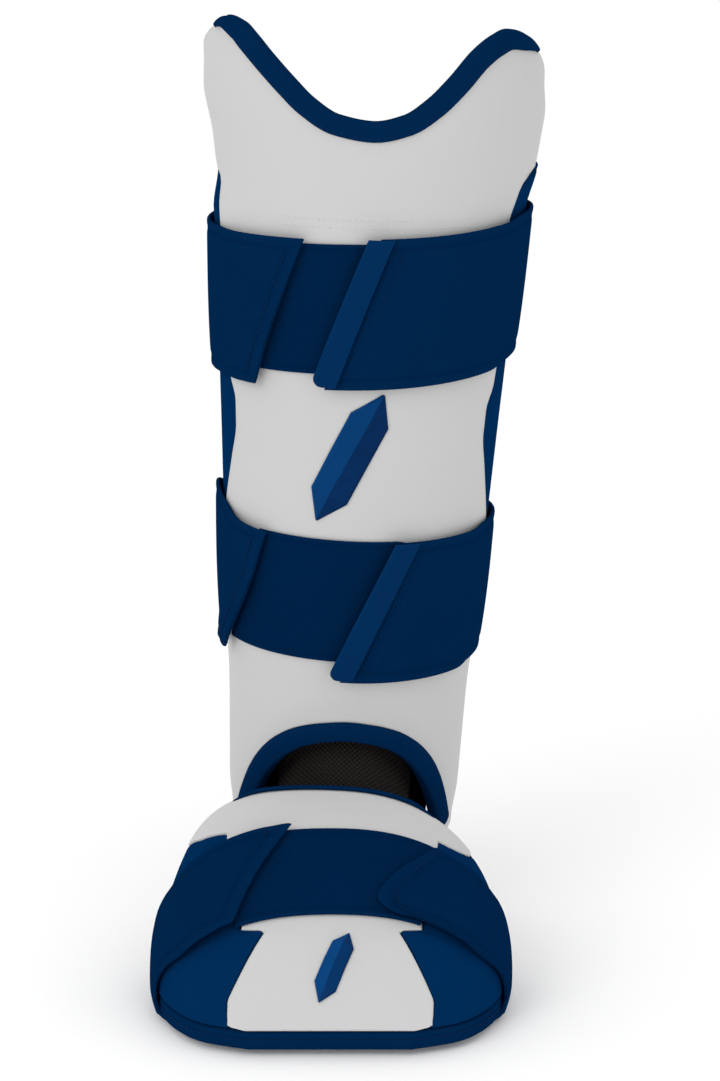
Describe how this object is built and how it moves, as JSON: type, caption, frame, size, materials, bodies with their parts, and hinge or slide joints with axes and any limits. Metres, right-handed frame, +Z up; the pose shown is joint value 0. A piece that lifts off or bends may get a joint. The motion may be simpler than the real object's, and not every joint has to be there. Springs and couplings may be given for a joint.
{
  "type": "leg guard",
  "caption": "Batter's leg guard in worn form: scooped shin shell on a padded body with wide wrap straps, joined by a web to a strapped, padded foot cap.",
  "frame": {"origin": "middle of the leg inside the shin hollow, between the two straps, where the leg holds the guard", "axes": "+Z up along the leg, -Y towards the toe, +X to the right in the picture"},
  "size_m": [0.1779, 0.2251, 0.4281],
  "materials": {
    "shin_pad": "navy fabric",
    "shin_shell": "matte light grey coated shell",
    "side_wing_left": "navy fabric",
    "side_wing_right": "navy fabric",
    "knee_binding": "navy fabric",
    "arch_binding": "navy fabric",
    "upper_landing": "dark navy woven strap",
    "upper_strap": "dark navy woven strap",
    "upper_tab": "navy fabric",
    "lower_landing": "dark navy woven strap",
    "lower_strap": "dark navy woven strap",
    "lower_tab": "navy fabric",
    "shin_badge": "glossy faceted navy",
    "foot_pad": "navy fabric",
    "foot_shell": "matte light grey coated shell",
    "foot_side_left": "navy fabric",
    "foot_side_right": "navy fabric",
    "foot_rim": "navy fabric",
    "foot_top_binding": "navy fabric",
    "foot_landing": "dark navy woven strap",
    "foot_strap": "dark navy woven strap",
    "foot_badge": "glossy faceted navy",
    "ankle_webbing": "black woven web"
  },
  "bodies": {
    "root": {"shin_pad": "shin_pad", "shin_shell": "shin_shell", "side_wing_left": "side_wing_left", "side_wing_right": "side_wing_right", "knee_binding": "knee_binding", "arch_binding": "arch_binding", "upper_landing": "upper_landing", "upper_strap": "upper_strap", "upper_tab": "upper_tab", "lower_landing": "lower_landing", "lower_strap": "lower_strap", "lower_tab": "lower_tab", "shin_badge": "shin_badge", "foot_pad": "foot_pad", "foot_shell": "foot_shell", "foot_side_left": "foot_side_left", "foot_side_right": "foot_side_right", "foot_rim": "foot_rim", "foot_top_binding": "foot_top_binding", "foot_landing": "foot_landing", "foot_strap": "foot_strap", "foot_badge": "foot_badge", "ankle_webbing": "ankle_webbing"}
  },
  "joints": []
}
